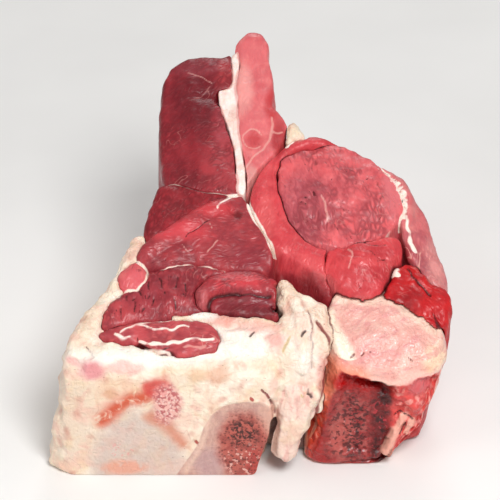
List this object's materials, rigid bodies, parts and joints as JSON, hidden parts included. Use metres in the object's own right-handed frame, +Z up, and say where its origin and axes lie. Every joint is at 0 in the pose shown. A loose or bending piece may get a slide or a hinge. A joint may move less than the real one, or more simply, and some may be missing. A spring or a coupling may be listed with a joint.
{
  "type": "bone-in camel meat cut",
  "caption": "Thick raw leg cut with sawn bone ends and fat at the front, tendon between them, and upright muscles sloping up to a tall back corner.",
  "frame": {"origin": "under the middle of the cut, on the board it stands on", "axes": "+Z up, +Y from the sawn bone ends at the front towards the tall back corner, +X to the right seen from the front"},
  "size_m": [0.1476, 0.1454, 0.1118],
  "materials": {
    "bone": "satin",
    "sawn_bone": "matte",
    "cartilage": "gloss",
    "tendon": "satin",
    "fat": "satin",
    "lean_muscle": "satin",
    "dark_muscle": "satin",
    "bright_muscle": "satin",
    "pale_muscle": "satin"
  },
  "bodies": {
    "root": {"joint_block": "bone", "shaft_bone": "sawn_bone", "knuckle_bone": "cartilage", "tendon_end": "tendon", "ligament": "tendon", "fat_cover": "fat", "outer_fat": "fat", "fat_bead": "fat", "fascia_plate": "fat", "strip_in_fat": "lean_muscle", "eye_muscle": "lean_muscle", "wedge_muscle": "lean_muscle", "lower_muscle": "lean_muscle", "side_muscle": "lean_muscle", "shank_muscle": "dark_muscle", "lobe_muscle": "bright_muscle", "wrap_muscle": "bright_muscle", "fold_muscle": "bright_muscle", "trimming": "bright_muscle", "edge_muscle": "pale_muscle", "long_strip": "pale_muscle", "flank_muscle": "pale_muscle"}
  },
  "joints": []
}
